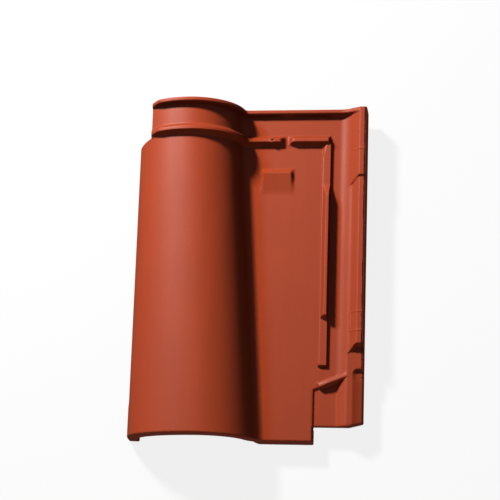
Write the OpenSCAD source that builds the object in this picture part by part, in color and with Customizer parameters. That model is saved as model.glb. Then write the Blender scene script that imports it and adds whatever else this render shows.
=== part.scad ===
// Single-roll interlocking clay roof tile, pressed and fired as one piece.
// Frame: X across the tile (roll on the left), Y from tail to head, Z up.
// The tile lies level on its foot, its tail nose and its hanging nib, all at Z = 0.

/* [Overall size] */
// Length from tail to head, mm
tile_length = 380; // [320:1:460]
// Width across the roll and the side lock, mm
tile_width = 264; // [240:1:320]
// Height of the roll crest above the resting plane, mm
crest_height = 76; // [66:1:96]
// Height of the upper face of the pan above the resting plane, mm
pan_height = 24; // [20:0.5:32]
// Thickness of the fired clay wall, mm
wall = 12; // [9:0.5:15]

/* [Roll] */
// Distance of the crest from the left edge at the tail, mm
crest_set_tail = 88; // [80:1:92]
// Distance of the crest from the left edge at the head, mm
crest_set_head = 67; // [62:1:72]
// Radius of the right half of the roll at the tail, mm
roll_radius_tail = 59; // [53:0.5:62]
// Radius of the right half of the roll at the head, mm
roll_radius_head = 49; // [44:0.5:53]
// Radius of the hollow between roll and pan, mm
foot_fillet = 12; // [10.5:0.5:16]
// Height at which the left half of the roll springs, mm
spring_height = 10; // [6:1:16]
// Height of the lower edge of the left leg above the resting plane, mm
leg_height = 26; // [20:1:32]

/* [Tail] */
// Setback of the upper tail edge behind the nose, mm
tail_draft = 3; // [2:0.5:5]
// Setback of the lower tail edge behind the nose, mm
tail_under_draft = 1; // [0.5:0.5:1.5]
// Length of the foot and the nose along the tile, mm
nose_length = 15; // [10:1:22]
// Length of the slope from the foot up to the left leg, mm
foot_ramp = 26; // [12:1:40]
// Distance of the nose from the left edge, mm
nose_set = 145; // [140:1:152]
// Width of the notch at the right of the tail, mm
tail_notch_width = 56; // [48:1:62]
// Length of the notch at the right of the tail, mm
tail_notch_length = 18; // [12:1:26]
// Width of the chamfer at the outer corner of that notch, mm
tail_chamfer_width = 16; // [8:1:22]
// Length of that chamfer, mm
tail_chamfer_length = 4; // [2:0.5:8]

/* [Head locks] */
// Height of the head-lock ribs above the surface, mm
rib_height = 8.5; // [6:0.5:9.5]
// Width of the rib tops, mm
rib_top = 4.5; // [3:0.5:6]
// Length of the rib flanks that face the tail, mm
rib_flank = 2; // [1.5:0.5:4]
// Length of the flank of the second rib that faces the head, mm
rib_back = 4; // [2:0.5:7]
// Rounding of the rib edges, mm
rib_round = 1; // [0.5:0.1:1.4]
// Height of the ribs where they end at the left notch, mm
rib_end_height = 2.5; // [1.5:0.5:5]
// Length over which the ribs fall to that height, mm
rib_fade = 14; // [8:1:20]
// Distance of the second rib from the head, mm
second_rib_set = 36; // [30:1:42]
// Distance of the drain gap in the second rib from the right edge, mm
drain_gap_set = 92; // [84:1:100]
// Width of the drain gap, mm
drain_gap_width = 4; // [3:0.5:8]
// Length of the bevels at the rib ends in the pan, mm
rib_bevel = 5; // [3:0.5:8]
// Width of the notch at the left of the head, mm
head_notch_width = 20; // [14:1:24]
// Length of the notch at the left of the head, mm
head_notch_length = 40; // [34:1:48]
// Slant of the end of that notch toward the tail, degrees
head_notch_slant = 14; // [4:1:25]

/* [Nail boss and pad] */
// Distance of the nail boss from the right edge, mm
boss_set = 108; // [104:1:114]
// Radius of the nail boss, mm
boss_radius = 4; // [3.2:0.1:6]
// Height of the nail boss above its rib, mm
boss_rise = 0.6; // [0.3:0.1:2]
// Radius of the nail pit at its mouth, mm
pit_radius = 1.3; // [1:0.1:2.5]
// Radius of the nail pit at its bottom, mm
pit_tip_radius = 0.6; // [0.4:0.1:0.9]
// Depth of the conical nail pit, mm
pit_depth = 3; // [2:0.5:6]
// Distance of the wedge pad from the right edge, mm
pad_set = 84; // [76:1:90]
// Width of the wedge pad, mm
pad_width = 37; // [24:1:46]
// Distance of the steep side of the pad from the head, mm
pad_head_set = 67.5; // [58:0.5:80]
// Length of the wedge pad along the tile, mm
pad_length = 30; // [20:1:44]
// Length of the steep side of the pad, mm
pad_slope = 6; // [3:0.5:9]
// Setback of the flanks of the pad from base to ridge, mm
pad_draft = 2; // [1:0.5:4]
// Height of the wedge pad, mm
pad_height = 5; // [2:0.5:7]

/* [Side lock] */
// Distance of the inner lock rib from the right edge, mm
inner_rib_set = 41; // [38:0.5:46]
// Width of the inner lock rib at its base, mm
inner_rib_base = 10.5; // [8.5:0.5:13]
// Width of the ridge of its tall stretch, mm
inner_rib_top = 3.5; // [2.5:0.5:5]
// Setback of its upright sides from base to top, mm
inner_rib_draft = 0.8; // [0.4:0.1:1.5]
// Height of its low stretches, mm
inner_rib_low = 4.5; // [3:0.5:8]
// Height of its tall stretch, mm
inner_rib_tall = 13; // [10:0.5:18]
// Start of the tall stretch, from the head, mm
tall_start = 95; // [80:1:104]
// Length of the tall stretch, mm
tall_length = 147; // [110:1:160]
// Length of the whole inner lock rib, mm
inner_rib_length = 259; // [235:1:268]
// Distance of the foot of the outer lock from the right edge, mm
lock_slope_set = 25; // [22:0.5:29]
// Width of the top of the outer lock at the head, mm
lock_top_width = 8; // [6:0.5:11]
// Radius of the hollow at the foot of the outer lock, mm
lock_fillet = 18; // [8:1:20]
// Height of the outer lock above the pan at the head, mm
lock_height = 19; // [17.5:0.5:22]
// Height of its middle stretch, mm
lock_mid_height = 16.5; // [13:0.5:17]
// Height of its stretch toward the tail, mm
lock_low_height = 6; // [4:0.5:8]
// Rise of the underside below the outer lock, mm
lock_under_rise = 4.5; // [2:0.5:6]
// Distance of the step to the middle stretch from the head, mm
head_step_set = 80; // [66:1:96]
// Distance of the step to the low stretch from the tail, mm
first_step_set = 108; // [98:1:130]
// Slant of the ends of the steps, degrees
step_slant = 40; // [15:1:50]
// Distance of the end of the sunk outer strip from the tail, mm
strip_length = 81; // [60:1:92]
// Width of the sunk outer strip, mm
strip_width = 12; // [9:0.5:14]
// Fall of the sunk outer strip toward the right edge, mm
strip_fall = 7; // [4:0.5:8]

/* [Tail of the side lock] */
// Distance of the inner end of the diverter lip from the right edge, mm
lip_side_set = 48.5; // [46:0.5:51.5]
// Distance of the diverter lip from the tail at the inner rib, mm
lip_set = 59; // [54:1:66]
// Length of the diverter lip, mm
lip_length = 38; // [30:1:44]
// Slant of the diverter lip, degrees
lip_angle = 26; // [15:0.5:32]
// Width of the ridge of the diverter lip, mm
lip_top = 2.5; // [2:0.5:5]
// Length of each flank of the diverter lip, mm
lip_flank = 3; // [2:0.5:5]
// Height of the diverter lip above the pan, mm
lip_height = 6.5; // [5.5:0.5:10]
// Height of the ends of the diverter lip, mm
lip_end_height = 3; // [1.5:0.5:4.5]
// Length over which the lip falls to its ends, mm
lip_slope = 12; // [8:1:14]
// Depth of the tongue below the pan, mm
tongue_depth = 2.5; // [1:0.5:5]
// Width of the floor of the tongue, mm
tongue_width = 27; // [20:1:32]

/* [Hanging nib] */
// Distance of the nib's bearing face from the head, mm
nib_set = 52; // [46:1:60]
// Length of the nib along the tile, mm
nib_length = 14; // [10:0.5:18]
// Width of the nib, mm
nib_width = 58; // [40:1:66]
// Distance of the nib from the right edge, mm
nib_side_set = 72; // [66:1:80]
// Setback of each nib flank from base to tip, mm
nib_draft = 2.5; // [1:0.5:4]

/* [Hidden] */
arc_steps = 22;
fillet_steps = 7;
embed = 4;
over = 20;
seam = 0.5;
clay = [0.69, 0.31, 0.2];
left_x = -tile_width / 2;
right_x = tile_width / 2;
tail_y = -tile_length / 2;
head_y = tile_length / 2;
under_z = pan_height - wall;
second_y = head_y - second_rib_set;
inner_x = right_x - inner_rib_set;
head_notch_x = left_x + head_notch_width;
notch_x = right_x - tail_notch_width;
notch_y = tail_y + tail_notch_length;
slope_x = right_x - lock_slope_set;
crown_x = right_x - lock_top_width;
crown_z = pan_height + lock_height;
lock_tilt = atan(lock_height / (crown_x - slope_x));
lock_start_x = slope_x - lock_fillet * tan(lock_tilt / 2);
lip_x = right_x - lip_side_set;
lip_y = tail_y + lip_set;
gap_x = right_x - drain_gap_set;
boss_z = pan_height + rib_height + boss_rise;

function mix(a, b, u) = a + (b - a) * u;
function along(y) = (y - tail_y) / tile_length;
function crest_x(u) = left_x + mix(crest_set_tail, crest_set_head, u);
function roll_r(u) = mix(roll_radius_tail, roll_radius_head, u);
function roll_z(u) = crest_height - roll_r(u);
function foot_angle(u) = asin((pan_height + foot_fillet - roll_z(u)) / (roll_r(u) + foot_fillet));
function foot_x(u) = crest_x(u) + (roll_r(u) + foot_fillet) * cos(foot_angle(u));

// Share of a rib's height left at angle q of the roll: full, then falling toward the left notch.
function rib_share(u, q) =
    let (x = crest_x(u) + (crest_x(u) - left_x) * cos(q))
    mix(rib_end_height / rib_height, 1, max(0, min(1, (x - head_notch_x) / rib_fade)));

// Points of the tile's section at u (0 tail, 1 head), moved off along its normal and raised by a rib:
// left leg, left half of the roll, right half, hollow, then the given right-hand points.
function section(u, off, rib, right) = concat(
    [[left_x - off - rib * rib_share(u, 180), 0]],
    [for (i = [0 : arc_steps]) let (q = 180 - 90 * i / arc_steps, grown = off + rib * rib_share(u, q))
        [crest_x(u) + (crest_x(u) - left_x + grown) * cos(q),
         spring_height + (crest_height - spring_height + grown) * sin(q)]],
    [for (i = [1 : arc_steps]) let (q = 90 - (90 - foot_angle(u)) * i / arc_steps, r = roll_r(u) + off + rib)
        [crest_x(u) + r * cos(q), roll_z(u) + r * sin(q)]],
    [for (i = [1 : fillet_steps])
        let (q = 180 + foot_angle(u) + (90 - foot_angle(u)) * i / fillet_steps, r = foot_fillet - off - rib)
        [foot_x(u) + r * cos(q), pan_height + foot_fillet + r * sin(q)]],
    right);

// Places across the pan where the left rib ends and the right one begins, clear of the hollow.
function rib_ends(u) =
    [max(gap_x - drain_gap_width / 2 - rib_bevel, foot_x(u) + seam),
     max(gap_x - drain_gap_width / 2, foot_x(u) + 2 * seam)];

// Angles of the hollow at the foot of the outer lock, and the places of its points.
lock_angles = [for (i = [0 : fillet_steps]) lock_tilt * i / fillet_steps];
lock_xs = [for (q = lock_angles) lock_start_x + lock_fillet * sin(q)];
lock_zs = [for (q = lock_angles) pan_height + lock_fillet * (1 - cos(q))];

// Height of point i of that hollow, raised by a rib that runs out at the crown of the lock.
function lock_z(i, rib) = lock_zs[i] + rib * (crown_z - lock_zs[i]) / lock_height;

// Upper surface of the tile at y: raised by a rib on the roll and the left of the pan,
// and by another on the right of the pan.
function upper(y, left_rib, right_rib) = let (ends = rib_ends(along(y)))
    section(along(y), 0, left_rib, concat(
        [[ends[0], pan_height + left_rib], [ends[1], pan_height + right_rib]],
        [for (i = [0 : fillet_steps]) [lock_xs[i], lock_z(i, right_rib)]],
        [[crown_x, crown_z], [right_x + over, crown_z]]));

// Lower surface of the tile at y, one wall below, and a little higher under the outer lock.
function lower(y) = let (ends = rib_ends(along(y)))
    section(along(y), -wall, 0, concat(
        [[ends[0], under_z], [ends[1], under_z]],
        [for (x = lock_xs) [x, under_z]],
        [[crown_x, under_z + lock_under_rise], [right_x + over, under_z + lock_under_rise]]));

function at_y(pts, y) = [for (p = pts) [p[0], y, p[1]]];
function backwards(list) = [for (i = [len(list) - 1 : -1 : 0]) list[i]];
function ring(y, left_rib, right_rib) =
    concat(at_y(upper(y, left_rib, right_rib), y), at_y(backwards(lower(y)), y));

// The wall of the tile, lofted from tail to head through the rows of the two head ribs.
module blank() {
    low = rib_height - rib_round;
    side = rib_top / 2;
    edge_y = tail_y + tail_draft;
    under_y = tail_y + tail_under_draft;
    rings = [
        concat(at_y(upper(edge_y, 0, 0), edge_y), at_y(backwards(lower(under_y)), under_y)),
        ring(second_y - side - rib_flank, 0, 0),
        ring(second_y - side, low, 0),
        ring(second_y - side + rib_round, rib_height, 0),
        ring(second_y + side - rib_round, rib_height, 0),
        ring(second_y + side, low, 0),
        ring(second_y + side + rib_back, 0, 0),
        ring(head_y - rib_top - rib_flank, 0, 0),
        ring(head_y - rib_top, low, low),
        ring(head_y - rib_top + rib_round, rib_height, rib_height),
        ring(head_y + over, rib_height, rib_height)];
    n = len(rings[0]);
    last = (len(rings) - 1) * n;
    walls = [for (k = [0 : len(rings) - 2], j = [0 : n - 1])
        let (a = k * n + j, b = k * n + (j + 1) % n) each [[a, a + n, b + n], [a, b + n, b]]];
    caps = [for (i = [0 : n / 2 - 2]) each [
        [i, i + 1, n - 2 - i], [i, n - 2 - i, n - 1 - i],
        [last + i, last + n - 2 - i, last + i + 1], [last + i, last + n - 1 - i, last + n - 2 - i]]];
    polyhedron([for (r = rings) each r], concat(walls, caps));
}

// Solid of a (y, z) outline between two x positions.
module across(x0, x1, outline) {
    translate([x0, 0, 0]) rotate([90, 0, 90]) linear_extrude(x1 - x0) polygon(outline);
}

// Solid of an (x, z) outline between two y positions.
module lengthwise(y0, y1, outline) {
    translate([0, y1, 0]) rotate([90, 0, 0]) linear_extrude(y1 - y0) polygon(outline);
}

// Outline of a straight rib about the middle of its ridge, from below the pan upward.
// Its two flanks have the given lengths between pan level and the ridge.
function rib_outline(mid, top, flank, back, height) =
    let (grown = (height + embed) / height)
    [[mid - top / 2 - flank * grown, pan_height - embed], [mid - top / 2, pan_height + height],
     [mid + top / 2, pan_height + height], [mid + top / 2 + back * grown, pan_height - embed]];

// The part of the second head rib between the drain gap and the side lock, with a bevelled end.
module drain_rib() {
    start_x = gap_x + drain_gap_width / 2;
    end_x = inner_x - inner_rib_base / 2;
    slope = rib_bevel * (rib_height + embed) / rib_height;
    top_z = pan_height + rib_height + seam;
    intersection() {
        across(start_x - over, end_x + over, rib_outline(second_y, rib_top, rib_flank, rib_back, rib_height));
        lengthwise(second_y - over, second_y + over,
                   [[start_x + rib_bevel - slope, pan_height - embed], [start_x + rib_bevel, top_z],
                    [end_x, top_z], [end_x, pan_height - embed]]);
    }
}

module nail_boss() {
    translate([right_x - boss_set, second_y, pan_height - embed])
        cylinder(r = boss_radius, h = boss_z - pan_height + embed);
}

module nail_pit() {
    translate([right_x - boss_set, second_y, boss_z - pit_depth])
        cylinder(r1 = pit_tip_radius, r2 = 2 * pit_radius - pit_tip_radius, h = 2 * pit_depth);
}

// Wedge pad: a short slope toward the head, a long one toward the tail, and drafted flanks.
module wedge_pad() {
    ridge_y = head_y - pad_head_set - pad_slope;
    end_x = right_x - pad_set;
    start_x = end_x - pad_width;
    grown = (pad_height + embed) / pad_height;
    intersection() {
        across(start_x - over, end_x + over,
               [[ridge_y - (pad_length - pad_slope) * grown, pan_height - embed],
                [ridge_y, pan_height + pad_height], [ridge_y + pad_slope * grown, pan_height - embed]]);
        lengthwise(ridge_y - 2 * pad_length, ridge_y + 2 * pad_length,
                   [[start_x + pad_draft * (1 - grown), pan_height - embed],
                    [start_x + 2 * pad_draft, pan_height + 2 * pad_height],
                    [end_x - 2 * pad_draft, pan_height + 2 * pad_height],
                    [end_x - pad_draft * (1 - grown), pan_height - embed]]);
    }
}

// Inner rib of the side lock: a low block, and a ridge with one slanting side on its tall stretch.
module inner_rib() {
    start_y = head_y - tall_start;
    stop_y = start_y - tall_length;
    last_y = second_y - inner_rib_length;
    low_z = pan_height + inner_rib_low;
    tall_z = pan_height + inner_rib_tall;
    base_x = inner_x - inner_rib_base;
    top_x = inner_x - inner_rib_draft;
    intersection() {
        lengthwise(last_y - over, second_y,
                   [[base_x, pan_height - embed], [base_x, pan_height],
                    [base_x + inner_rib_draft, low_z + seam], [top_x - inner_rib_top, tall_z],
                    [top_x, tall_z], [inner_x, pan_height], [inner_x, pan_height - embed]]);
        across(base_x - over, inner_x + over,
               [[second_y + over, pan_height - 2 * embed], [second_y + over, low_z],
                [start_y + inner_rib_low, low_z], [start_y - inner_rib_low, tall_z - seam],
                [stop_y + embed / 2, tall_z - seam], [stop_y, low_z], [last_y + embed / 2, low_z],
                [last_y - embed / 2, pan_height - 2 * embed]]);
    }
}

// Space above a stretch of the outer lock, from the tail to a slanted end.
module lock_step(start_x, end_y, height) {
    translate([0, 0, pan_height + height]) linear_extrude(over)
        polygon([[start_x, tail_y - over], [start_x, end_y - (crown_x - start_x) * tan(step_slant)],
                 [crown_x, end_y], [right_x + 2 * over, end_y], [right_x + 2 * over, tail_y - over]]);
}

// Space above the sunk strip, whose floor falls from the low stretch to the right edge.
module strip_space() {
    start_x = right_x - strip_width;
    low_z = pan_height + lock_low_height;
    slope = strip_fall / strip_width;
    intersection() {
        lock_step(start_x - seam, tail_y + strip_length, lock_low_height - strip_fall - embed);
        lengthwise(tail_y - 2 * over, head_y,
                   [[start_x - seam, low_z + slope * seam], [start_x - seam, low_z + over],
                    [right_x + over, low_z + over], [right_x + over, low_z - slope * (strip_width + over)]]);
    }
}

// Slanted diverter lip, lower at both ends.
module diverter_lip() {
    ridge_z = pan_height + lip_height - seam;
    end_z = pan_height + lip_end_height;
    translate([lip_x, lip_y, 0]) rotate([0, 0, lip_angle]) intersection() {
        across(-over, lip_length + over, rib_outline(0, lip_top, lip_flank, lip_flank, lip_height));
        lengthwise(-over, over,
                   [[0, pan_height - 2 * embed], [0, end_z], [lip_slope, ridge_z],
                    [lip_length - lip_slope, ridge_z], [lip_length, end_z],
                    [lip_length, pan_height - 2 * embed]]);
    }
}

// Lowered floor of the tongue, from the diverter lip to the tail notch, sloping up at the outer lock.
module tongue_space() {
    floor_z = pan_height - tongue_depth;
    start_x = notch_x + seam;
    end_x = start_x + tongue_width;
    intersection() {
        lengthwise(tail_y - over, head_y, [[start_x, floor_z], [end_x, floor_z],
                                           [end_x + over, floor_z + over], [start_x, floor_z + over]]);
        translate([lip_x, lip_y, 0]) rotate([0, 0, lip_angle])
            translate([-tile_length, -tile_length, 0]) cube([2 * tile_length, tile_length, 2 * crest_height]);
    }
}

module tail_nose() {
    front = (tail_under_draft + seam) * (under_z + embed) / under_z;
    across(left_x + nose_set, notch_x + over,
           [[tail_y, 0], [tail_y + front, under_z + embed],
            [tail_y + nose_length + tail_draft, under_z + embed], [tail_y + nose_length, 0]]);
}

module hanging_nib() {
    face_y = head_y - nib_set;
    end_x = right_x - nib_side_set;
    start_x = end_x - nib_width;
    intersection() {
        across(start_x, end_x,
               [[face_y, 0], [face_y, under_z + embed],
                [face_y + nib_length + nib_draft, under_z + embed], [face_y + nib_length, 0]]);
        lengthwise(face_y - over, face_y + nib_length + over,
                   [[start_x + nib_draft, 0], [start_x, under_z + embed - seam],
                    [end_x, under_z + embed - seam], [end_x - nib_draft, 0]]);
    }
}

// Clearance under the left leg, from the slope behind the foot to the head.
module leg_space() {
    ramp_y = tail_y + nose_length;
    across(left_x - over, crest_x(1),
           [[ramp_y - foot_ramp * over / leg_height, -over], [ramp_y + foot_ramp, leg_height],
            [head_y + 2 * over, leg_height], [head_y + 2 * over, -over]]);
}

// Plan of the tile with its two corner notches.
module plan() {
    top_y = head_y - head_notch_length;
    low_y = top_y - (head_notch_width + over) * tan(head_notch_slant);
    translate([0, 0, -over]) linear_extrude(crest_height + rib_height + 3 * over)
        polygon([[left_x - over, tail_y - over], [notch_x, tail_y - over], [notch_x, notch_y],
                 [right_x - tail_chamfer_width, notch_y], [right_x, notch_y + tail_chamfer_length],
                 [right_x, head_y], [head_notch_x, head_y], [head_notch_x, top_y], [left_x - over, low_y]]);
}

module roof_tile() {
    color(clay) intersection() {
        plan();
        difference() {
            union() {
                difference() {
                    blank();
                    lock_step(lock_start_x, head_y - head_step_set, lock_mid_height);
                    lock_step(lock_start_x, tail_y + first_step_set, lock_low_height);
                    strip_space();
                    tongue_space();
                    leg_space();
                }
                drain_rib();
                nail_boss();
                wedge_pad();
                inner_rib();
                diverter_lip();
                tail_nose();
                hanging_nib();
            }
            nail_pit();
        }
    }
}

roof_tile();
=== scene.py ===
"""Looks of a single-roll interlocking clay roof tile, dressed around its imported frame.

The tile is one fired piece. Its upper and lower faces are two surfaces on one shared grid:
columns run from the left leg over the roll and the pan to the side lock, and rows run from
the tail to the head. Tile sizes are in millimetres, and everything handed to Blender is in metres.

In the names of sizes, set is a distance in from an edge of the tile. Draft, flank, bevel and run
are the length of a slope in plan. Round is half the length of a rounded corner, and fade is the
length over which a form or a move runs out.
"""

import logging
import math
from dataclasses import dataclass, field
from enum import Enum

import bpy
import numpy as np
from mathutils import Matrix, Vector


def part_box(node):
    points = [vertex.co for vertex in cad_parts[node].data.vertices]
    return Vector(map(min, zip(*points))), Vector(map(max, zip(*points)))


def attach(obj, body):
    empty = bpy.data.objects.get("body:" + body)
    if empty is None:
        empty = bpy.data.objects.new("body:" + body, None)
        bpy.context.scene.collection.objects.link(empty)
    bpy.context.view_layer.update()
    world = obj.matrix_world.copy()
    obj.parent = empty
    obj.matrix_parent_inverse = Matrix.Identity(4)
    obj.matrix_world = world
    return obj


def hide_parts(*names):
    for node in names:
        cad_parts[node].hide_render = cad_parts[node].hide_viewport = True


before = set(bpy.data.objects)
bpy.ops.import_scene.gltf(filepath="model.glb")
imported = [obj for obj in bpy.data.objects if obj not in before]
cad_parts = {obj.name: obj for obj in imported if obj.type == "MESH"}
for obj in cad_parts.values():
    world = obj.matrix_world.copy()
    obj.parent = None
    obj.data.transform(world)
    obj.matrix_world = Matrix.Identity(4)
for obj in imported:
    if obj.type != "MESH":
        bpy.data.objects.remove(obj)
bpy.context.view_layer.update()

TILE_NODE = "roof_tile"
TILE_BODY = "root"
MM = 0.001
PHOTO_SIDE_PX = 500
LOG = logging.getLogger("roof_tile")
# Socket numbers of a Mix node that mixes colours.
MIX_FACTOR, MIX_BASE, MIX_OVER, MIX_RESULT = 0, 6, 7, 2

Array = np.ndarray
Triple = tuple[float, float, float]
Colour = Triple
Stop = tuple[float, float]
Inputs = dict[str | int, object]


class Face(Enum):
    """Side of the tile that a surface belongs to, with its material index."""

    UPPER = 0
    LOWER = 1


def soft_floor(x: Array, r: float) -> Array:
    """Ramp with a rounded start: 0 below -r, x above r, and the parabola (x + r)^2 / 4r between.

    Args:
        x: Values of the ramp.
        r: Half length of the rounded corner, in the units of x.

    Returns:
        The rounded ramp.
    """
    return np.where(x >= r, x, np.square(np.clip(x + r, 0.0, None)) / (4.0 * r))


def soft_step(x: Array, r: float = 0.3) -> Array:
    """Rise from 0 to 1 while x goes from 0 to 1, with both corners rounded.

    Args:
        x: Position along the rise.
        r: Half length of each rounded corner, as a share of the rise.

    Returns:
        One rounded ramp less the same ramp moved on by 1.
    """
    return soft_floor(x, r) - soft_floor(x - 1.0, r)


def soft_max(a: Array, b: Array, r: float) -> Array:
    """Greater of two surfaces, with a fillet where they cross.

    Args:
        a: First surface.
        b: Second surface.
        r: Half height of the fillet.

    Returns:
        a plus the rounded ramp of b - a.
    """
    return a + soft_floor(b - a, r)


def soft_min(a: Array, b: Array, r: float) -> Array:
    """Lesser of two surfaces, with a round where they cross.

    Args:
        a: First surface.
        b: Second surface.
        r: Half height of the round.

    Returns:
        a less the rounded ramp of a - b.
    """
    return a - soft_floor(a - b, r)


def graded_lines(stops: list[Stop], growth: float, coarse: float) -> Array:
    """Grid lines that hold every stop, fine beside the stops and coarser between them.

    The spacing at a place is the least of coarse and, for each of the two stops around it,
    the stop's own spacing plus growth times the distance. Lines are placed at equal steps of
    the integral of 1 / spacing.

    Args:
        stops: Pairs of position and spacing, in rising order.
        growth: Growth of the spacing for each unit of distance from a stop.
        coarse: Largest spacing.

    Returns:
        Positions of the lines, in rising order.
    """
    samples = 65
    parts = []
    for (start, start_pace), (end, end_pace) in zip(stops[:-1], stops[1:]):
        place = np.linspace(start, end, samples)
        pace = np.minimum(start_pace + growth * (place - start), end_pace + growth * (end - place))
        density = 1.0 / np.minimum(pace, coarse)
        count = np.concatenate(([0.0], np.cumsum((density[1:] + density[:-1]) / 2 * np.diff(place))))
        cells = max(1, round(count[-1]))
        parts.append(np.interp(np.linspace(0.0, count[-1], cells + 1)[:-1], count, place))
    return np.concatenate(parts + [np.array([stops[-1][0]])])


def shares(cells: int) -> Array:
    """Start of each of a number of equal cells, as a share of the whole."""
    return np.arange(cells) / cells


def feed(tree: bpy.types.NodeTree, node: bpy.types.Node, inputs: Inputs) -> None:
    """Sets inputs of a node, or links those that are given a socket.

    Args:
        tree: Node tree that the node is in.
        node: The node.
        inputs: Value or source socket of each input, by its name or number.
    """
    for key, value in inputs.items():
        if isinstance(value, bpy.types.NodeSocket):
            tree.links.new(value, node.inputs[key])
        else:
            node.inputs[key].default_value = value


def add_node(tree: bpy.types.NodeTree, kind: str, inputs: Inputs, **settings: object) -> bpy.types.Node:
    """Adds a node, changes its settings and feeds its inputs.

    Args:
        tree: Node tree that gets the node.
        kind: Type of the node.
        inputs: Value or source socket of each input, by its name or number.
        settings: Settings of the node.

    Returns:
        The node.
    """
    node = tree.nodes.new(kind)
    for name, value in settings.items():
        setattr(node, name, value)
    feed(tree, node, inputs)
    return node


@dataclass(frozen=True)
class Extent:
    """Edges of the tile in plan and its levels, in millimetres."""

    left: float
    right: float
    tail: float
    head: float
    pan_height: float = 24.0
    wall: float = 12.0

    @classmethod
    def of_node(cls, node: str) -> "Extent":
        """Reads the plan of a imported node.

        Args:
            node: Name of the node.

        Returns:
            The extent of its box.
        """
        low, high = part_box(node)
        return cls(low.x / MM, high.x / MM, low.y / MM, high.y / MM)

    @property
    def under_height(self) -> float:
        """Level of the underside of the pan."""
        return self.pan_height - self.wall


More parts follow.
